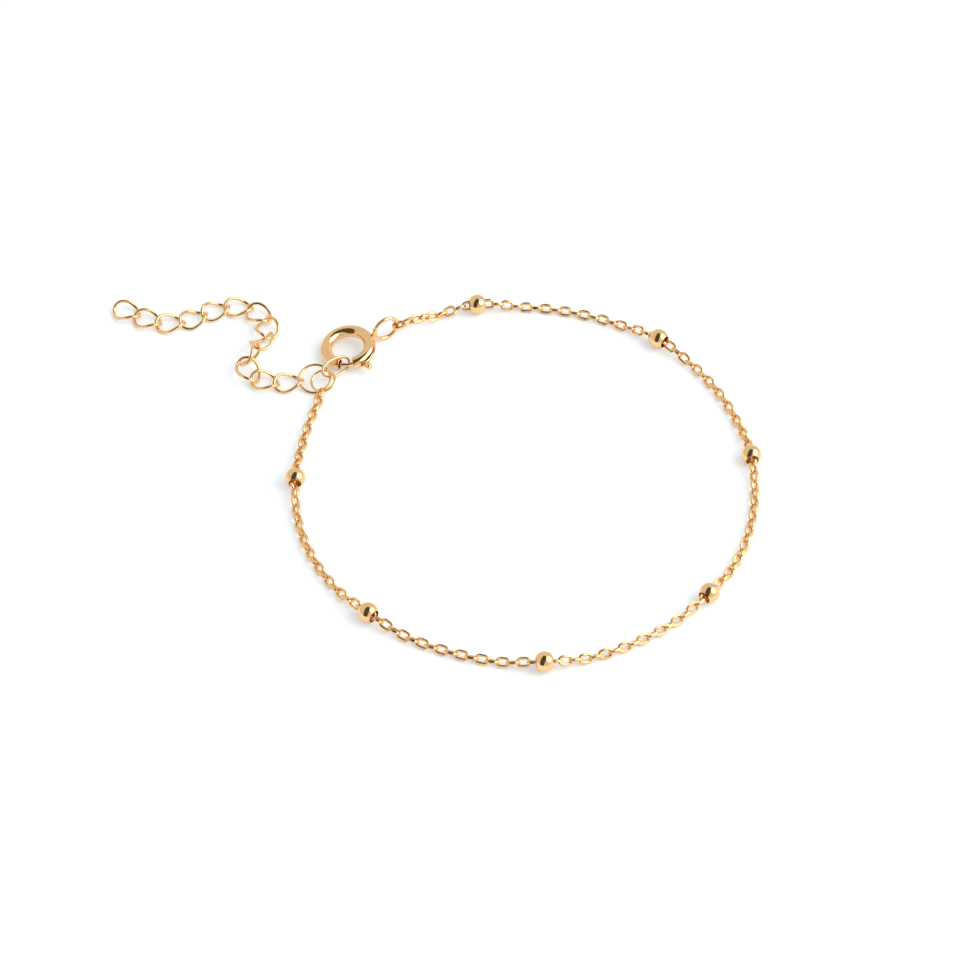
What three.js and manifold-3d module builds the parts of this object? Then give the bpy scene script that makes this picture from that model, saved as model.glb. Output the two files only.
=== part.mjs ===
// A beaded chain bracelet in yellow gold, lying open on a table with its clasp done up.
// A fine chain runs round the wrist through seven drilled beads. One end hangs in the loop of a
// sprung ring clasp, the other in a small ring, and a tail of thirteen twisted links lengthens it.
// Millimetres, +Z up. X runs from the tail's tip to the far side of the wrist loop.
import * as THREE from "three";
import Module from "manifold-3d";
import { mergeVertices } from "three/addons/utils/BufferGeometryUtils.js";

const wasm = await Module();
wasm.setup();

// Fine chain, as the round envelope that its links fill
const CHAIN_ACROSS = 0.96;
const CHAIN_SIDES = 8;
const CHAIN_STEPS = 66;
const CHAIN_REST = (CHAIN_ACROSS / 2) * Math.cos(Math.PI / CHAIN_SIDES);

// Drilled beads
const BEAD_ACROSS = 2.15;
const BEAD_BORE = 1.3;
const BEAD_SIDES = 16;
const BEAD_BANDS = 8;

// The chain is lifted where a bead carries it, and at the clasp's loop
const LIFT_AT_BEAD = 1.0;
const LIFT_AT_LOOP = 1.45;
const LIFT_FLAT = 1.0;
const LIFT_RUN = 4.0;

// Twisted links of the tail
const LINK_LENGTH = 3.48;
const LINK_WIDTH = 2.76;
const LINK_WIRE = 0.36;
const LINK_TWIST = -38;
const LINK_PITCH = 2.64;
const LINK_AROUND = 16;
const WIRE_SIDES = 6;

// Round and oval rings between the clasp, the chain and the tail
const TAIL_RING_ACROSS = 3.64;
const TAIL_RING_WIRE = 0.3;
const CHAIN_RING_ACROSS = 2.83;
const CHAIN_RING_WIRE = 0.28;
const HOOK_LENGTH = 3.94;
const HOOK_WIDTH = 2.11;
const HOOK_WIRE = 0.28;
const RING_AROUND = 16;

// Sprung ring clasp: a bent tube with a gap, closed by a tongue that slides inside it
const CLASP_ACROSS = 6.02;
const CLASP_TUBE = 1.3;
const CLASP_BORE = 0.94;
const CLASP_STEPS = 28;
const CLASP_SIDES = 12;
const CLASP_RADIUS = (CLASP_ACROSS - CLASP_TUBE) / 2;
const CLASP_PLACE = { x: -8.9, y: 18.46, z: 1.02 };
const CLASP_HEADING = 30;
const CLASP_TILT = 8;
const GAP_START = -140;
const GAP_END = -106;
const TONGUE_ACROSS = 0.42;
const TONGUE_START = -142;
const TONGUE_END = -70;
const NUB_ANGLE = -81;
const NUB_ACROSS = 0.72;
const NUB_REACH = 3.95;
const NUB_START = 2.2;
const SLOT_WIDTH = 0.84;
const SLOT_START = -92;
const SLOT_END = -37;
const LOOP_ACROSS = 3.2;
const LOOP_WIRE = 0.45;
const LOOP_REACH = 4.68;
const LOOP_DROP = 0.06;
const KNUCKLE_LONG = 0.66;
const KNUCKLE_WIDE = 0.6;
const KNUCKLE_TALL = 0.9;

// Route of the chain from the clasp's loop round the wrist to the small ring
const ROUTE = [
  { x: -3.14, y: 21.58, bead: false },
  { x: 0.68, y: 23.78, bead: false },
  { x: 4.93, y: 25.03, bead: true },
  { x: 11.78, y: 24.98, bead: false },
  { x: 18.48, y: 23.23, bead: false },
  { x: 24.38, y: 19.78, bead: true },
  { x: 28.83, y: 15.08, bead: false },
  { x: 31.88, y: 9.23, bead: false },
  { x: 33.48, y: 2.78, bead: true },
  { x: 33.48, y: -4.07, bead: false },
  { x: 31.78, y: -10.57, bead: false },
  { x: 28.33, y: -16.27, bead: true },
  { x: 23.48, y: -20.62, bead: false },
  { x: 17.73, y: -23.77, bead: false },
  { x: 11.63, y: -25.27, bead: true },
  { x: 5.43, y: -24.52, bead: false },
  { x: -0.67, y: -22.37, bead: false },
  { x: -6.02, y: -18.87, bead: true },
  { x: -10.47, y: -13.57, bead: false },
  { x: -13.17, y: -7.27, bead: false },
  { x: -13.92, y: -0.47, bead: true },
  { x: -13.17, y: 5.88, bead: false },
  { x: -11.67, y: 11.9, bead: false },
];

// The tail, walked from the tail ring outwards: each link's heading, climb and roll in degrees,
// and how much of its pitch is slack
const TAIL_START = { x: -13.84, y: 14.1, z: 0.56 };
const TAIL = [
  { heading: -166, climb: 0, roll: 0, slack: 0 },
  { heading: 161, climb: 3, roll: 0, slack: 0 },
  { heading: 123, climb: 19, roll: 8, slack: 0.72 },
  { heading: 61, climb: 4, roll: -74, slack: 0 },
  { heading: 67, climb: -17, roll: -21, slack: 0 },
  { heading: 94, climb: -3, roll: 0, slack: 0.06 },
  { heading: 134, climb: -1, roll: 0, slack: 0.06 },
  { heading: 174, climb: 0, roll: 0, slack: 0.04 },
  { heading: -155, climb: 0, roll: 0, slack: 0 },
  { heading: -149, climb: 0, roll: 0, slack: 0 },
  { heading: -177, climb: 0, roll: 0, slack: 0 },
  { heading: 153, climb: 0, roll: 0, slack: 0 },
  { heading: 150, climb: 0, roll: 0, slack: 0 },
];

// How the two rings and the hooked link lie: centre, the way they face uphill, and their slope
const TAIL_RING_LIES = { x: -12.34, y: 14.18, z: 0.67, heading: 85, climb: 17, roll: -2 };
const CHAIN_RING_LIES = { x: -11.43, y: 13.63, z: 0.92, heading: 65, climb: 17, roll: -5 };
const HOOK_LIES = { x: -10.13, y: 15.66, z: 0.95, heading: 41, climb: -9, roll: 58 };

const rad = THREE.MathUtils.degToRad;

function gold(color, roughness) {
  return new THREE.MeshStandardMaterial({ color, roughness, metalness: 1 });
}

const chainGold = gold(0xe2b866, 0.24);
const beadGold = gold(0xe6bd70, 0.14);
const claspGold = gold(0xe0b568, 0.17);
const linkGold = gold(0xe4bb6c, 0.18);

// The manifold solid of a closed three.js geometry
function solidOf(geometry) {
  const bare = geometry.clone();
  bare.deleteAttribute("normal");
  bare.deleteAttribute("uv");
  const merged = mergeVertices(bare, 1e-5);
  return new wasm.Manifold(
    new wasm.Mesh({
      numProp: 3,
      vertProperties: merged.attributes.position.array,
      triVerts: new Uint32Array(merged.index.array),
    }),
  );
}

// The three.js geometry of a manifold solid
function geometryOf(solid) {
  const mesh = solid.getMesh();
  return new THREE.BufferGeometry()
    .setAttribute("position", new THREE.BufferAttribute(mesh.vertProperties, 3))
    .setIndex(new THREE.BufferAttribute(mesh.triVerts, 1));
}

function piece(name, geometry, material) {
  const mesh = new THREE.Mesh(geometry, material);
  mesh.name = name;
  return mesh;
}

// Centreline of an oval link whose two ends are turned by plus and minus the twist
function linkPoint(angle, length, width, twist) {
  const turn = rad(twist) * Math.cos(angle);
  const side = width * Math.sin(angle);
  return new THREE.Vector3(length * Math.cos(angle), side * Math.cos(turn), side * Math.sin(turn));
}

// A wire ring bent onto an oval, twisted centreline, made by bending a round torus
function wireLink(length, width, wire, twist, around) {
  const halfLength = (length - wire) / 2;
  const halfWidth = (width - wire) / 2;
  const geometry = new THREE.TorusGeometry(1, wire / 2, WIRE_SIDES, around);
  const position = geometry.attributes.position;
  const step = 1e-3;
  for (let i = 0; i < position.count; i++) {
    const flat = new THREE.Vector3().fromBufferAttribute(position, i);
    const angle = Math.atan2(flat.y, flat.x);
    const outward = Math.hypot(flat.x, flat.y) - 1;
    const centre = linkPoint(angle, halfLength, halfWidth, twist);
    const tangent = linkPoint(angle + step, halfLength, halfWidth, twist).sub(centre).normalize();
    const normal = centre.clone().addScaledVector(tangent, -centre.dot(tangent)).normalize();
    const across = normal.clone().cross(tangent);
    centre.addScaledVector(normal, outward).addScaledVector(across, flat.z);
    position.setXYZ(i, centre.x, centre.y, centre.z);
  }
  return geometry;
}

// Puts a piece at its place, turned to its heading, sloped by its climb and rolled about its length
function lay(mesh, lies) {
  mesh.rotation.set(rad(lies.roll), -rad(lies.climb), rad(lies.heading), "ZYX");
  mesh.position.set(lies.x, lies.y, lies.z);
  return mesh;
}

// 1 beside a lifting piece, falling smoothly to 0 along the chain
function lift(distance) {
  return 1 - THREE.MathUtils.smoothstep(distance, LIFT_FLAT, LIFT_FLAT + LIFT_RUN);
}

// The chain's centreline: the plan route, raised at each bead and at the clasp's loop
class ChainRoute extends THREE.Curve {
  constructor() {
    super();
    const points = ROUTE.map((row) => new THREE.Vector3(row.x, row.y, 0));
    this.plan = new THREE.CatmullRomCurve3(points, false, "centripetal");
  }

  getPoint(t, target = new THREE.Vector3()) {
    this.plan.getPoint(t, target);
    let height = CHAIN_REST;
    ROUTE.forEach((row, i) => {
      const top = i === 0 ? LIFT_AT_LOOP : LIFT_AT_BEAD;
      if (i === 0 || row.bead) {
        const near = lift(Math.hypot(target.x - row.x, target.y - row.y));
        height = Math.max(height, CHAIN_REST + (top - CHAIN_REST) * near);
      }
    });
    target.z = height;
    return target;
  }

  // The chain's section stays upright all the way, so that it lies on its own flat
  computeFrenetFrames(segments) {
    const up = new THREE.Vector3(0, 0, 1);
    const frames = { tangents: [], normals: [], binormals: [] };
    for (let i = 0; i <= segments; i++) {
      const tangent = this.getTangentAt(i / segments);
      const normal = up.clone().cross(tangent).normalize();
      frames.tangents.push(tangent);
      frames.normals.push(normal);
      frames.binormals.push(tangent.clone().cross(normal));
    }
    return frames;
  }
}

// An even polygon as a shape, with a flat side down along its second axis
function polygon(across, sides) {
  const points = [];
  for (let i = 0; i < sides; i++) {
    const angle = ((i + 0.5) / sides) * 2 * Math.PI;
    points.push(new THREE.Vector2(Math.cos(angle), Math.sin(angle)).multiplyScalar(across / 2));
  }
  return points;
}

function fineChain(route) {
  const section = new THREE.Shape(polygon(CHAIN_ACROSS, CHAIN_SIDES));
  return new THREE.ExtrudeGeometry(section, { extrudePath: route, steps: CHAIN_STEPS });
}

// A hollow bead on the Z axis: a ball cut flat by its wide bore
function bead() {
  const bore = BEAD_BORE / 2;
  const mouth = Math.acos(bore / (BEAD_ACROSS / 2));
  const profile = [];
  for (let i = 0; i <= BEAD_BANDS; i++) {
    const angle = mouth * ((2 * i) / BEAD_BANDS - 1);
    const out = Math.cos(angle) * (BEAD_ACROSS / 2);
    profile.push(new THREE.Vector2(out, Math.sin(angle) * (BEAD_ACROSS / 2)));
  }
  profile.push(profile[0].clone());
  return new THREE.LatheGeometry(profile, BEAD_SIDES).rotateX(Math.PI / 2);
}

function threadBead(mesh, route, index) {
  const t = index / (ROUTE.length - 1);
  const along = route.plan.getTangent(t);
  mesh.quaternion.setFromUnitVectors(new THREE.Vector3(0, 0, 1), along);
  mesh.position.set(ROUTE[index].x, ROUTE[index].y, BEAD_ACROSS / 2);
  return mesh;
}

// An arc in the clasp's own plane, from one angle in degrees to another
class ClaspArc extends THREE.Curve {
  constructor(radius, start, end) {
    super();
    Object.assign(this, { radius, start, end });
  }

  getPoint(t, target = new THREE.Vector3()) {
    const angle = rad(THREE.MathUtils.lerp(this.start, this.end, t));
    return target.set(Math.cos(angle), Math.sin(angle), 0).multiplyScalar(this.radius);
  }
}

// The bent tube with its bore open at both ends of the gap
function claspTube() {
  const wall = new THREE.Shape(polygon(CLASP_TUBE, CLASP_SIDES));
  wall.holes.push(new THREE.Path(polygon(CLASP_BORE, CLASP_SIDES).reverse()));
  const path = new ClaspArc(CLASP_RADIUS, GAP_END, GAP_START + 360);
  return new THREE.ExtrudeGeometry(wall, { extrudePath: path, steps: CLASP_STEPS });
}

// The cut in the tube's outer side that the nub slides in
function triggerSlot() {
  const depth = CLASP_TUBE;
  const box = new THREE.Shape([
    new THREE.Vector2(-depth / 2, -SLOT_WIDTH / 2),
    new THREE.Vector2(depth / 2, -SLOT_WIDTH / 2),
    new THREE.Vector2(depth / 2, SLOT_WIDTH / 2),
    new THREE.Vector2(-depth / 2, SLOT_WIDTH / 2),
  ]);
  const path = new ClaspArc(CLASP_RADIUS + depth / 2, SLOT_START, SLOT_END);
  return new THREE.ExtrudeGeometry(box, { extrudePath: path, steps: 8 });
}

// The standing loop soldered to the tube's outer side, which the chain's end link hangs in
function claspLoop() {
  const radius = (LOOP_ACROSS - LOOP_WIRE) / 2;
  const loop = new THREE.TorusGeometry(radius, LOOP_WIRE / 2, 8, RING_AROUND);
  return loop.rotateX(Math.PI / 2).translate(LOOP_REACH, 0, -LOOP_DROP);
}

// The oval knuckle of solder between the tube and the loop
function loopKnuckle() {
  const ball = new THREE.SphereGeometry(0.5, 12, 8);
  ball.scale(KNUCKLE_LONG, KNUCKLE_WIDE, KNUCKLE_TALL);
  return ball.translate(LOOP_REACH - LOOP_ACROSS / 2 + LOOP_WIRE / 2, 0, -LOOP_DROP);
}

function claspBody() {
  const tube = solidOf(claspTube()).subtract(solidOf(triggerSlot()));
  const solder = solidOf(loopKnuckle()).add(solidOf(claspLoop()));
  return geometryOf(tube.add(solder));
}

// The tongue that bridges the gap, with the round-ended nub that pulls it back
function claspTrigger() {
  const section = new THREE.Shape(polygon(TONGUE_ACROSS, 8));
  const path = new ClaspArc(CLASP_RADIUS, TONGUE_START, TONGUE_END);
  const tongue = new THREE.ExtrudeGeometry(section, { extrudePath: path, steps: 12 });
  const half = NUB_ACROSS / 2;
  const profile = [
    new THREE.Vector2(0, NUB_START),
    new THREE.Vector2(half * 0.6, NUB_START),
    new THREE.Vector2(half * 0.6, CLASP_ACROSS / 2 + 0.05),
    new THREE.Vector2(half, CLASP_ACROSS / 2 + 0.15),
    new THREE.Vector2(half, NUB_REACH - half * 0.6),
    new THREE.Vector2(half * 0.6, NUB_REACH - half * 0.15),
    new THREE.Vector2(0, NUB_REACH),
  ];
  const nub = new THREE.LatheGeometry(profile, 12).rotateZ(rad(NUB_ANGLE - 90));
  return geometryOf(solidOf(tongue).add(solidOf(nub)));
}

// The clasp's two pieces, tilted because its loop stands higher than its tube
function clasp() {
  const flat = new THREE.Group();
  flat.rotation.y = -rad(CLASP_TILT);
  flat.add(piece("clasp_body", claspBody(), claspGold));
  flat.add(piece("clasp_trigger", claspTrigger(), claspGold));
  const turned = new THREE.Group();
  turned.rotation.z = rad(CLASP_HEADING);
  turned.position.set(CLASP_PLACE.x, CLASP_PLACE.y, CLASP_PLACE.z);
  turned.add(flat);
  return turned;
}

function ring(across, wire) {
  return new THREE.TorusGeometry((across - wire) / 2, wire / 2, WIRE_SIDES, RING_AROUND);
}

// The rings that join the clasp, the chain's end and the tail
function joiningRings() {
  const group = new THREE.Group();
  const tailRing = piece("tail_ring", ring(TAIL_RING_ACROSS, TAIL_RING_WIRE), linkGold);
  const chainRing = piece("chain_ring", ring(CHAIN_RING_ACROSS, CHAIN_RING_WIRE), linkGold);
  const oval = wireLink(HOOK_LENGTH, HOOK_WIDTH, HOOK_WIRE, 0, RING_AROUND);
  const hookLink = piece("hook_link", oval, linkGold);
  group.add(lay(tailRing, TAIL_RING_LIES));
  group.add(lay(chainRing, CHAIN_RING_LIES));
  group.add(lay(hookLink, HOOK_LIES));
  return group;
}

// The tail's links, each hooked through the one before it
function tail() {
  const group = new THREE.Group();
  const shape = wireLink(LINK_LENGTH, LINK_WIDTH, LINK_WIRE, LINK_TWIST, LINK_AROUND);
  let x = TAIL_START.x;
  let y = TAIL_START.y;
  let z = TAIL_START.z;
  TAIL.forEach(({ heading, climb, roll, slack }, i) => {
    const step = LINK_PITCH - slack;
    const run = step * Math.cos(rad(climb));
    const dx = run * Math.cos(rad(heading));
    const dy = run * Math.sin(rad(heading));
    const dz = step * Math.sin(rad(climb));
    const number = String(i + 1).padStart(2, "0");
    const link = piece("tail_link_" + number, shape, linkGold);
    group.add(lay(link, { x: x + dx / 2, y: y + dy / 2, z: z + dz / 2, heading, climb, roll }));
    x += dx;
    y += dy;
    z += dz;
  });
  return group;
}

function chainWithBeads() {
  const group = new THREE.Group();
  const route = new ChainRoute();
  group.add(piece("fine_chain", fineChain(route), chainGold));
  const shape = bead();
  let number = 0;
  ROUTE.forEach((row, i) => {
    if (row.bead) {
      number += 1;
      group.add(threadBead(piece("bead_" + number, shape, beadGold), route, i));
    }
  });
  return group;
}

const bracelet = new THREE.Group();
bracelet.add(chainWithBeads());
bracelet.add(clasp());
bracelet.add(joiningRings());
bracelet.add(tail());

export default bracelet;
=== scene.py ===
import math

import bmesh
import bpy
from mathutils import Matrix, Vector


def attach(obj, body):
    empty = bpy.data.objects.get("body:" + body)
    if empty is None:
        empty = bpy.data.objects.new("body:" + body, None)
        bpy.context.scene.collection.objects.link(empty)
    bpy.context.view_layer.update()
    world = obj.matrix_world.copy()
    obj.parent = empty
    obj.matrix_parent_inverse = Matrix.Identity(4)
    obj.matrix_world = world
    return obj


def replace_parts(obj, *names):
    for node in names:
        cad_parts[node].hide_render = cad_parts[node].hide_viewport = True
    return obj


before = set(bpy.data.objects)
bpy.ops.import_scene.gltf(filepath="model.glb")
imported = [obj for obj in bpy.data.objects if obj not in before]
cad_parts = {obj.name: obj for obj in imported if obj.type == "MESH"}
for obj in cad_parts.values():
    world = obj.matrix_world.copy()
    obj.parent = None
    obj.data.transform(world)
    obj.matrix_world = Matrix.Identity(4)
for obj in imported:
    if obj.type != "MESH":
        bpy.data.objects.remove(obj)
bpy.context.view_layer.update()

# The fine chain
# A cable chain of small oval links, bent from round wire and soldered shut, their long sides planed
# flat. Each hangs at a right angle in the one before it. The chain soon turns to 45 degrees and lies
# so on the table, lifted only where a bead or the clasp's loop carries it.
mm = 0.001

CHAIN_POINTS = [
    (-3.14, 21.58), (0.68, 23.78), (4.93, 25.03), (11.78, 24.98), (18.48, 23.23), (24.38, 19.78),
    (28.83, 15.08), (31.88, 9.23), (33.48, 2.78), (33.48, -4.07), (31.78, -10.57), (28.33, -16.27),
    (23.48, -20.62), (17.73, -23.77), (11.63, -25.27), (5.43, -24.52), (-0.67, -22.37),
    (-6.02, -18.87), (-10.47, -13.57), (-13.17, -7.27), (-13.92, -0.47), (-13.17, 5.88),
    (-11.67, 11.9),
]
BEADS_AT = [2, 5, 8, 11, 14, 17, 20]
CHAIN_REST = 0.482
LIFT_AT_BEAD = 1.0
LIFT_AT_LOOP = 1.45
LINK_PITCH = 1.05
LINK_LONG = 1.54
LINK_WIDE = 1.2
LINK_WIRE = 0.38
LINK_END_WIRE = 0.23
LINK_PLANED = 0.035
ROLL_RUN = 8
LIFT_FLAT = 1.0
LIFT_RUN = 4.0

# Where the first link wraps the clasp's loop, and the last one the chain ring
CHAIN_FROM = Vector((-3.995, 21.3, 1.39))
CHAIN_TO = Vector((-11.68, 12.62, 0.6))


def only(piece):
    """One piece selected and active."""
    for thing in list(bpy.context.selected_objects):
        thing.select_set(False)
    piece.select_set(True)
    bpy.context.view_layer.objects.active = piece


def named(piece, name):
    """The name goes on the piece and on its mesh."""
    piece.name = name
    piece.data.name = name
    return piece


def settle(piece):
    """The piece's place goes into its mesh."""
    only(piece)
    bpy.ops.object.transform_apply(location=True, rotation=True, scale=True)
    return piece


def smooth(piece, angle):
    """Smooth shading, with sharp edges kept where faces meet at more than the angle."""
    only(piece)
    bpy.ops.object.shade_smooth_by_angle(angle=math.radians(angle))
    return piece


def face_out(piece):
    """Doubles merged, and every face turned outwards."""
    only(piece)
    bpy.ops.object.mode_set(mode="EDIT")
    bpy.ops.mesh.select_all(action="SELECT")
    bpy.ops.mesh.remove_doubles(threshold=1e-7)
    bpy.ops.mesh.normals_make_consistent(inside=False)
    bpy.ops.object.mode_set(mode="OBJECT")
    return piece


def spline_point(a, b, c, d, t):
    """A point between b and c of a centripetal spline through four points."""
    ab, bc, cd = (max((q - p).length, 1e-6) ** 0.5 for p, q in ((a, b), (b, c), (c, d)))
    into = ((b - a) / ab - (c - a) / (ab + bc) + (c - b) / bc) * bc
    out = ((c - b) / bc - (d - b) / (bc + cd) + (d - c) / cd) * bc
    return (b + into * t + (3 * (c - b) - 2 * into - out) * t ** 2
            + (2 * (b - c) + into + out) * t ** 3)


def eased(distance):
    """1 beside a piece that lifts the chain, falling smoothly to 0 along it."""
    x = min(max((distance - LIFT_FLAT) / LIFT_RUN, 0.0), 1.0)
    return 1 - x * x * (3 - 2 * x)


def chain_height(x, y):
    """How high the chain's middle is above the table at a point of its route."""
    lifts = [(CHAIN_POINTS[0], LIFT_AT_LOOP)] + [(CHAIN_POINTS[i], LIFT_AT_BEAD) for i in BEADS_AT]
    return max(CHAIN_REST + (top - CHAIN_REST) * eased(math.dist((x, y), at)) for at, top in lifts)


def chain_line(steps=40):
    """The chain's centreline in millimetres, with its two hooked ends."""
    at = [Vector((x, y, 0)) for x, y in CHAIN_POINTS]
    at = [2 * at[0] - at[1]] + at + [2 * at[-1] - at[-2]]
    line = [CHAIN_FROM.copy()]
    for i in range(len(CHAIN_POINTS) - 1):
        for k in range(steps):
            p = spline_point(*at[i:i + 4], k / steps)
            line.append(Vector((p.x, p.y, chain_height(p.x, p.y))))
    last = at[-2]
    line.append(Vector((last.x, last.y, chain_height(last.x, last.y))))
    line.append(CHAIN_TO.copy())
    return line


def walk(line, count):
    """Evenly spaced joints along a line."""
    far = [0.0]
    for p, q in zip(line, line[1:]):
        far.append(far[-1] + (q - p).length)
    joints = []
    k = 0
    for i in range(count + 1):
        want = far[-1] * i / count
        while k < len(far) - 2 and far[k + 1] < want:
            k += 1
        share = (want - far[k]) / max(far[k + 1] - far[k], 1e-9)
        joints.append(line[k].lerp(line[k + 1], share))
    return joints


def chain_link():
    """One link, along X, with its planed sides facing out along Y."""
    half = (LINK_WIDE - LINK_WIRE) / 2
    bpy.ops.mesh.primitive_torus_add(
        major_segments=20, minor_segments=8,
        major_radius=half * mm, minor_radius=LINK_WIRE / 2 * mm)
    link = named(bpy.context.object, "chain_link")
    bm = bmesh.new()
    bm.from_mesh(link.data)
    stretch = ((LINK_LONG - LINK_END_WIRE) / 2 - half) * mm
    planed = (LINK_WIDE / 2 - LINK_PLANED) * mm
    for v in bm.verts:
        turn = math.atan2(v.co.y, v.co.x)
        along = abs(math.cos(turn))
        thin = 1 - (1 - LINK_END_WIRE / LINK_WIRE) * along ** 2
        core = Vector((math.cos(turn), math.sin(turn), 0)) * half * mm
        v.co = core + (v.co - core) * thin
        v.co.x += math.copysign(stretch, math.cos(turn)) * min(1.0, abs(math.cos(turn)) * 1.7)
        v.co.y = min(max(v.co.y, -planed), planed)
    bm.to_mesh(link.data)
    bm.free()
    return link


def across(direction):
    """The level direction to the left of a heading, and the one above it."""
    side = Vector((0, 0, 1)).cross(direction).normalized()
    return side, direction.cross(side).normalized()


def gold(name, color, deep, rough, grain, dents):
    """Polished gold plate: a warm body colour, deeper where it is worn, and fine polishing marks."""
    made = bpy.data.materials.new(name)
    made.use_nodes = True
    nodes = made.node_tree.nodes
    join = made.node_tree.links.new
    shader = nodes["Principled BSDF"]
    shader.inputs["Metallic"].default_value = 1.0
    place = nodes.new("ShaderNodeTexCoord")

    cloud = nodes.new("ShaderNodeTexNoise")
    cloud.inputs["Scale"].default_value = 420.0
    cloud.inputs["Detail"].default_value = 4.0
    join(place.outputs["Object"], cloud.inputs["Vector"])
    tint = nodes.new("ShaderNodeValToRGB")
    tint.color_ramp.elements[0].position = 0.32
    tint.color_ramp.elements[0].color = (*deep, 1)
    tint.color_ramp.elements[1].position = 0.62
    tint.color_ramp.elements[1].color = (*color, 1)
    join(cloud.outputs["Fac"], tint.inputs["Fac"])
    join(tint.outputs["Color"], shader.inputs["Base Color"])

    smear = nodes.new("ShaderNodeTexNoise")
    smear.inputs["Scale"].default_value = 1300.0
    smear.inputs["Detail"].default_value = 3.0
    join(place.outputs["Object"], smear.inputs["Vector"])
    spread = nodes.new("ShaderNodeMapRange")
    spread.inputs["From Min"].default_value = 0.35
    spread.inputs["From Max"].default_value = 0.7
    spread.inputs["To Min"].default_value = rough * 0.75
    spread.inputs["To Max"].default_value = rough * 1.5
    join(smear.outputs["Fac"], spread.inputs["Value"])
    join(spread.outputs["Result"], shader.inputs["Roughness"])

    dimple = nodes.new("ShaderNodeTexNoise")
    dimple.inputs["Scale"].default_value = grain
    dimple.inputs["Detail"].default_value = 2.0
    join(place.outputs["Object"], dimple.inputs["Vector"])
    relief = nodes.new("ShaderNodeBump")
    relief.inputs["Strength"].default_value = 1.0
    relief.inputs["Distance"].default_value = dents * mm
    join(dimple.outputs["Fac"], relief.inputs["Height"])
    join(relief.outputs["Normal"], shader.inputs["Normal"])
    return made


chain_gold = gold("chain gold", (0.93, 0.62, 0.3), (0.88, 0.54, 0.23), 0.26, 2600.0, 0.006)

line = chain_line()
length = sum((q - p).length for p, q in zip(line, line[1:]))
links = 2 * round(length / LINK_PITCH / 2)
joints = walk(line, links)
pattern = chain_link()
chain = bmesh.new()
for i in range(links):
    a, b = joints[i], joints[i + 1]
    heading = (b - a).normalized()
    side, up = across(heading)
    roll = math.radians(90 * (i % 2) + 45 * min(1.0, i / ROLL_RUN))
    turned = Matrix((heading, side * math.cos(roll) + up * math.sin(roll),
                     up * math.cos(roll) - side * math.sin(roll))).transposed().to_4x4()
    turned.translation = (a + b) / 2 * mm
    before = len(chain.verts)
    chain.from_mesh(pattern.data)
    chain.verts.ensure_lookup_table()
    bmesh.ops.transform(chain, matrix=turned, verts=chain.verts[before:])
shape = bpy.data.meshes.new("fine chain links")
chain.to_mesh(shape)
chain.free()
bpy.data.objects.remove(pattern)
fine_chain = bpy.data.objects.new("fine_chain_links", shape)
bpy.context.collection.objects.link(fine_chain)
smooth(fine_chain, 35)
fine_chain.data.materials.append(chain_gold)
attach(fine_chain, "bracelet")
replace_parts(fine_chain, "fine_chain")

# The beads
# Seven smooth beads, each a ball drilled right through. The bore is a little wider than the chain,
# so a bead can slide along the links that carry it.
BEAD_ACROSS = 2.14
BEAD_BORE = 1.31
BEAD_BANDS = 28
BEAD_RIM = 0.03
BEAD_AROUND = 48
BEAD_HEIGHT = 1.075

bead_gold = gold("bead gold", (0.93, 0.62, 0.31), (0.9, 0.57, 0.27), 0.07, 1500.0, 0.003)


def bevelled(piece, width, segments, angle):
    """The edges sharper than an angle in degrees, rounded to a width in millimetres."""
    only(piece)
    step = piece.modifiers.new("round", "BEVEL")
    step.width = width * mm
    step.segments = segments
    step.limit_method = "ANGLE"
    step.angle_limit = math.radians(angle)
    bpy.ops.object.modifier_apply(modifier="round")
    return piece


def drilled_bead():
    """A bead's outline, its round back and its straight bore, spun about the bore."""
    mouth = math.acos(BEAD_BORE / BEAD_ACROSS)
    outline = []
    for i in range(BEAD_BANDS + 1):
        turn = mouth * (2 * i / BEAD_BANDS - 1)
        outline.append(Vector((math.cos(turn), 0, math.sin(turn))) * BEAD_ACROSS / 2 * mm)
    shape = bpy.data.meshes.new("bead")
    shape.from_pydata(outline, [(i, (i + 1) % len(outline)) for i in range(len(outline))], [])
    bead = bpy.data.objects.new("bead", shape)
    bpy.context.collection.objects.link(bead)
    only(bead)
    bpy.ops.object.mode_set(mode="EDIT")
    bpy.ops.mesh.select_all(action="SELECT")
    bpy.ops.mesh.spin(steps=BEAD_AROUND, angle=2 * math.pi, center=(0, 0, 0), axis=(0, 0, -1))
    bpy.ops.object.mode_set(mode="OBJECT")
    return bevelled(face_out(bead), BEAD_RIM, 3, 30)


model_bead = drilled_bead()
for number, at in enumerate(BEADS_AT, start=1):
    x, y = CHAIN_POINTS[at]
    before, after = (Vector((*CHAIN_POINTS[at + k], 0)) for k in (-1, 1))
    here = Vector((x, y, 0))
    near = spline_point(before, here, after, Vector((*CHAIN_POINTS[at + 2], 0)), 0.01)
    bead = named(model_bead.copy(), "drilled_bead_%d" % number)
    bead.data = model_bead.data.copy()
    bpy.context.collection.objects.link(bead)
    bead.rotation_mode = "QUATERNION"
    bead.rotation_quaternion = Vector((0, 0, 1)).rotation_difference((near - here).normalized())
    bead.location = Vector((x, y, BEAD_HEIGHT)) * mm
    settle(bead)
    smooth(bead, 35)
    bead.data.materials.append(bead_gold)
    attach(bead, "bracelet")
    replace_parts(bead, "bead_%d" % number)
bpy.data.objects.remove(model_bead)

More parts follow.
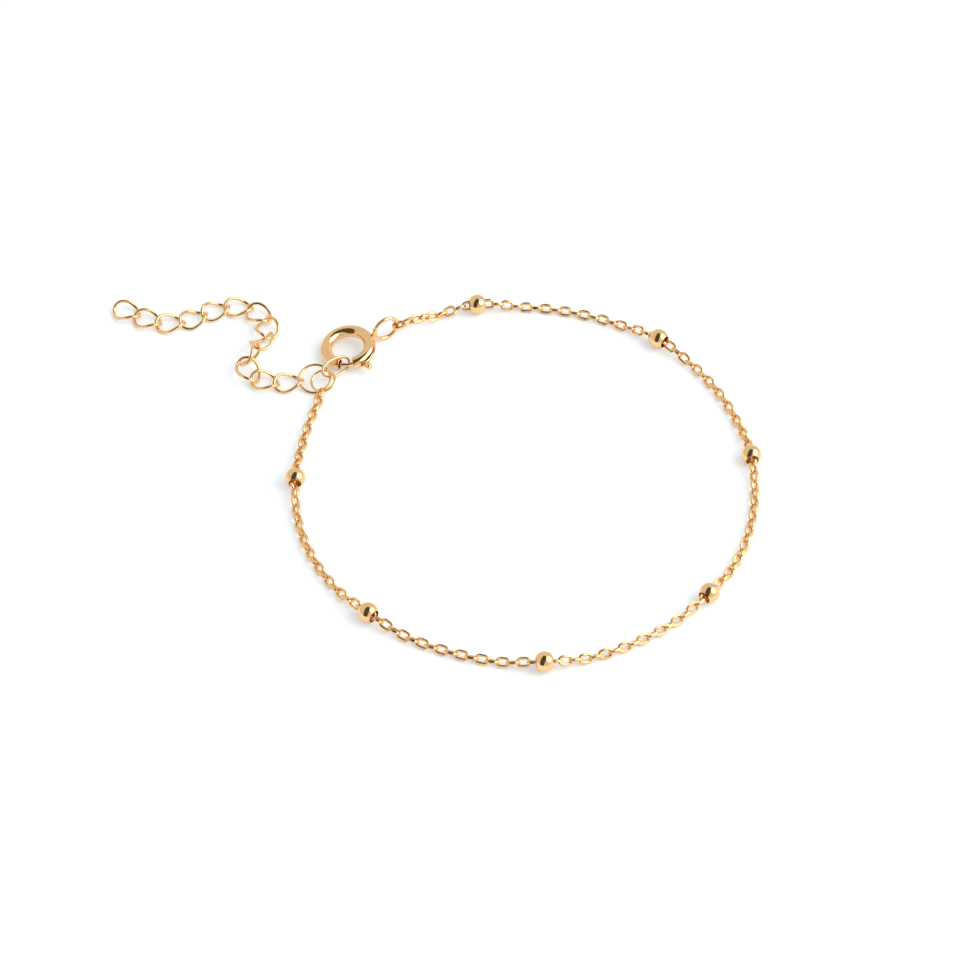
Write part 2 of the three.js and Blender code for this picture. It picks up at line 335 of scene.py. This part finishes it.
# The spring ring's body
# A round tube bent into a ring with a short gap, polished, with a slot sawn in its outer side for
# the trigger. A standing loop of thick wire is soldered to it, and the chain's first link hangs there.
CLASP_AT = Vector((-8.9, 18.46, 1.02))
CLASP_RADIUS = 2.36
CLASP_TUBE = 1.3
CLASP_BORE = 0.94
GAP_FROM = -140
GAP_TO = -106
CLASP_HEADING = 30
CLASP_TILT = 8
TUBE_LIP = 0.05
SLOT_WIDTH = 0.84
SLOT_FROM = -91
SLOT_TO = -38
LOOP_AT = 4.68
LOOP_DROP = 0.06
LOOP_RADIUS = 1.365
LOOP_WIRE = 0.45
KNUCKLE_AT = 3.305
KNUCKLE = (0.64, 0.58, 0.88)

clasp_gold = gold("clasp gold", (0.93, 0.61, 0.32), (0.9, 0.56, 0.28), 0.1, 900.0, 0.004)
clasp_turn = (Matrix.Translation(CLASP_AT * mm)
              @ Matrix.Rotation(math.radians(CLASP_HEADING), 4, "Z")
              @ Matrix.Rotation(math.radians(-CLASP_TILT), 4, "Y"))


def spun_wire(across_mm, start, end, sides, steps, radius=CLASP_RADIUS, bore=0.0):
    """A round wire, or a tube where it has a bore, spun about the ring's centre."""
    bpy.ops.mesh.primitive_circle_add(vertices=sides, radius=across_mm / 2 * mm, fill_type="NGON")
    wire = bpy.context.object
    if bore:
        bpy.ops.object.mode_set(mode="EDIT")
        bpy.ops.mesh.select_all(action="SELECT")
        bpy.ops.mesh.inset(thickness=(across_mm - bore) / 2 * mm)
        bpy.ops.mesh.delete(type="FACE")
        bpy.ops.object.mode_set(mode="OBJECT")
    wire.rotation_euler = (math.radians(90), 0, 0)
    wire.location = (radius * mm, 0, 0)
    settle(wire)
    wire.rotation_euler = (0, 0, math.radians(start))
    settle(wire)
    bpy.ops.object.mode_set(mode="EDIT")
    bpy.ops.mesh.select_all(action="SELECT")
    bpy.ops.mesh.spin(steps=steps, angle=math.radians(end - start), center=(0, 0, 0),
                      axis=(0, 0, -1))
    bpy.ops.object.mode_set(mode="OBJECT")
    return face_out(wire)


def boolean(piece, other, operation):
    """Joins a second piece into the first, or cuts it out."""
    only(piece)
    step = piece.modifiers.new("cut", "BOOLEAN")
    step.object = other
    step.operation = operation
    step.solver = "EXACT"
    bpy.ops.object.modifier_apply(modifier="cut")
    bpy.data.objects.remove(other)
    return piece


body = spun_wire(CLASP_TUBE, GAP_TO, GAP_FROM + 360, 28, 84, bore=CLASP_BORE)
bevelled(body, TUBE_LIP, 3, 60)
slot = spun_wire(SLOT_WIDTH, SLOT_FROM, SLOT_TO, 16, 24, radius=CLASP_RADIUS + CLASP_TUBE / 2)
boolean(body, slot, "DIFFERENCE")

bpy.ops.mesh.primitive_torus_add(
    major_segments=64, minor_segments=16, major_radius=LOOP_RADIUS * mm,
    minor_radius=LOOP_WIRE / 2 * mm)
loop = bpy.context.object
loop.rotation_euler = (math.radians(90), 0, 0)
loop.location = Vector((LOOP_AT, 0, -LOOP_DROP)) * mm
settle(loop)
bpy.ops.mesh.primitive_uv_sphere_add(segments=32, ring_count=20, radius=0.5 * mm)
knuckle = bpy.context.object
knuckle.scale = KNUCKLE
knuckle.location = Vector((KNUCKLE_AT, 0, -LOOP_DROP)) * mm
settle(knuckle)
boolean(body, knuckle, "UNION")
boolean(body, loop, "UNION")
body.matrix_world = clasp_turn
settle(body)
face_out(body)
smooth(body, 32)
named(body, "spring_ring")
body.data.materials.append(clasp_gold)
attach(body, "bracelet")
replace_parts(body, "clasp_body")

# The trigger
# The sprung tongue that closes the gap: a bent wire inside the tube, with a round-headed nub that
# stands out through the slot. A fingernail pulls it back along the ring against its spring.
TONGUE = 0.42
TONGUE_FROM = -142
TONGUE_TO = -70
NUB_AT = -81
NUB_ACROSS = 0.72
STEM_ACROSS = 0.38
TONGUE_TIP = 0.06
STEM_FROM = 2.2
STEM_TO = 3.5
NUB_FROM = 3.12
NUB_TO = 3.95

tongue = spun_wire(TONGUE, TONGUE_FROM, TONGUE_TO, 16, 36)
bevelled(tongue, TONGUE_TIP, 3, 60)


def round_post(radius, low, high):
    """A short post along X, both its ends domed."""
    bpy.ops.mesh.primitive_cylinder_add(vertices=24, radius=radius * mm, depth=(high - low) * mm)
    post = bpy.context.object
    post.rotation_euler = (0, math.radians(90), 0)
    post.location = ((high + low) / 2 * mm, 0, 0)
    return bevelled(settle(post), radius * 0.55, 5, 60)


stem = round_post(STEM_ACROSS / 2, STEM_FROM, STEM_TO)
head = round_post(NUB_ACROSS / 2, NUB_FROM, NUB_TO)
nub = boolean(head, stem, "UNION")
nub.rotation_euler = (0, 0, math.radians(NUB_AT))
settle(nub)
trigger = boolean(tongue, nub, "UNION")
trigger.matrix_world = clasp_turn
settle(trigger)
face_out(trigger)
smooth(trigger, 35)
named(trigger, "trigger_pull_back")
trigger.data.materials.append(clasp_gold)
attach(trigger, "trigger")
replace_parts(trigger, "clasp_trigger")

# The joining rings and the hooked link
# Two round jump rings and one oval link of round wire. The oval hangs on the tongue and holds both
# rings: the larger carries the tail, and the smaller, above it, the end of the fine chain.
link_gold = gold("link gold", (0.93, 0.63, 0.31), (0.89, 0.56, 0.25), 0.1, 1100.0, 0.005)


def wire_link(name, length, width, wire, twist, lies):
    """A closed wire bent to an oval, its two ends turned against each other, laid in its place."""
    bpy.ops.mesh.primitive_circle_add(vertices=64, radius=1.0)
    link = bpy.context.object
    for v in link.data.vertices:
        turn = math.atan2(v.co.y, v.co.x)
        lean = math.radians(twist) * math.cos(turn)
        out = (width - wire) / 2 * math.sin(turn)
        v.co = Vector(((length - wire) / 2 * math.cos(turn),
                       out * math.cos(lean), out * math.sin(lean))) * mm
    only(link)
    bpy.ops.object.convert(target="CURVE")
    link.data.bevel_depth = wire / 2 * mm
    link.data.bevel_resolution = 5
    bpy.ops.object.convert(target="MESH")
    x, y, z, heading, climb, roll = lies
    link.matrix_world = (Matrix.Translation(Vector((x, y, z)) * mm)
                         @ Matrix.Rotation(math.radians(heading), 4, "Z")
                         @ Matrix.Rotation(math.radians(-climb), 4, "Y")
                         @ Matrix.Rotation(math.radians(roll), 4, "X"))
    settle(link)
    face_out(link)
    smooth(link, 60)
    named(link, name)
    link.data.materials.append(link_gold)
    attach(link, "bracelet")
    return link


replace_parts(wire_link("round_ring_of_tail", 3.64, 3.64, 0.295, 0,
                      (-12.34, 14.18, 0.67, 85, 17, -2)), "tail_ring")
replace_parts(wire_link("round_ring_of_chain", 2.83, 2.83, 0.275, 0,
                      (-11.43, 13.63, 0.92, 65, 17, -5)), "chain_ring")
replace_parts(wire_link("oval_hooked_link", 3.94, 2.11, 0.275, 0,
                      (-10.13, 15.66, 0.95, 41, -9, 58)), "hook_link")

# The tail
# Thirteen open links of a curb chain, each an oval of round wire twisted a little so that it lies
# flat in the next. The tail lets the clasp close on any of them, and its last link ends it.
TAIL_LINK = 3.48
TAIL_WIDTH = 2.76
TAIL_WIRE = 0.355
TAIL_TWIST = -38
TAIL_PITCH = 2.64
TAIL_FROM = Vector((-13.84, 14.1, 0.56))

# Each link's heading, climb and roll in degrees, and how much of its pitch is slack
TAIL_WALK = [
    (-166, 0, 0, 0), (161, 3, 0, 0), (123, 19, 8, 0.72), (61, 4, -74, 0), (67, -17, -21, 0),
    (94, -3, 0, 0.06), (134, -1, 0, 0.06), (174, 0, 0, 0.04), (-155, 0, 0, 0), (-149, 0, 0, 0),
    (-177, 0, 0, 0), (153, 0, 0, 0), (150, 0, 0, 0),
]

at = TAIL_FROM.copy()
for number, (heading, climb, roll, slack) in enumerate(TAIL_WALK, start=1):
    step = TAIL_PITCH - slack
    level = step * math.cos(math.radians(climb))
    move = Vector((level * math.cos(math.radians(heading)), level * math.sin(math.radians(heading)),
                   step * math.sin(math.radians(climb))))
    middle = at + move / 2
    link = wire_link("curb_link_%02d" % number, TAIL_LINK, TAIL_WIDTH, TAIL_WIRE, TAIL_TWIST,
                     (*middle, heading, climb, roll))
    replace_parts(link, "tail_link_%02d" % number)
    at += move

# The table, the light and the camera
# A plain white table in a white tent, with one round soft light from the right and a dark screen
# beside the camera, which the polished gold mirrors as its dark patches.
bpy.context.scene.view_settings.view_transform = "Standard"

bpy.ops.mesh.primitive_plane_add(size=8.0, location=(0, 0, 0))
table = named(bpy.context.object, "table")
white = bpy.data.materials.new("white table")
white.use_nodes = True
white_shader = white.node_tree.nodes["Principled BSDF"]
white_shader.inputs["Base Color"].default_value = (0.8, 0.86, 0.91, 1)
white_shader.inputs["Roughness"].default_value = 0.9
white_shader.inputs["Specular IOR Level"].default_value = 0.1
white_shader.inputs["Emission Color"].default_value = (1, 1, 1, 1)
white_shader.inputs["Emission Strength"].default_value = 0.2
table.data.materials.append(white)

world = bpy.data.worlds.new("studio")
bpy.context.scene.world = world
world.use_nodes = True
sky = world.node_tree.nodes["Background"]
sky.inputs["Color"].default_value = (1.0, 0.99, 0.98, 1)
sky.inputs["Strength"].default_value = 0.8


def soft_light(name, toward, distance, size, power, color):
    """A round soft light at a direction from the bracelet, facing it."""
    lamp = bpy.data.lights.new(name, "AREA")
    lamp.shape = "DISK"
    lamp.size = size
    lamp.energy = power
    lamp.color = color
    light = bpy.data.objects.new(name, lamp)
    bpy.context.collection.objects.link(light)
    light.location = Vector(toward).normalized() * distance
    light.rotation_euler = (-light.location).to_track_quat("-Z", "Y").to_euler()


def dark_screen(name, toward, distance, wide, tall):
    """An upright dark screen that faces the bracelet."""
    bpy.ops.mesh.primitive_plane_add(size=1.0)
    screen = named(bpy.context.object, name)
    screen.scale = (wide, tall, 1)
    screen.location = Vector(toward).normalized() * distance
    screen.rotation_euler = screen.location.to_track_quat("Z", "Y").to_euler()
    settle(screen)
    black = bpy.data.materials.new(name)
    black.use_nodes = True
    matt = black.node_tree.nodes["Principled BSDF"]
    matt.inputs["Base Color"].default_value = (0.07, 0.06, 0.045, 1)
    matt.inputs["Roughness"].default_value = 1.0
    screen.data.materials.append(black)
    screen.visible_diffuse = False
    screen.visible_shadow = False


soft_light("soft light", (0.76, -0.1, 0.64), 0.5, 0.56, 1.7, (1.0, 0.98, 0.95))
dark_screen("dark screen", (-0.24, -0.5, 0.83), 0.52, 0.52, 1.5)

CAMERA_RAISED = 47.4
CAMERA_AWAY = 0.395

target = Vector((5.23, 0.18, 0)) * mm
eye = bpy.data.cameras.new("eye")
eye.lens = 142.5
eye.sensor_width = 36
eye.clip_start = 0.01
camera = bpy.data.objects.new("camera", eye)
bpy.context.collection.objects.link(camera)
raised = math.radians(CAMERA_RAISED)
camera.location = target + Vector((0, -math.cos(raised), math.sin(raised))) * CAMERA_AWAY
camera.rotation_euler = (math.radians(90) - raised, 0, 0)
bpy.context.scene.camera = camera
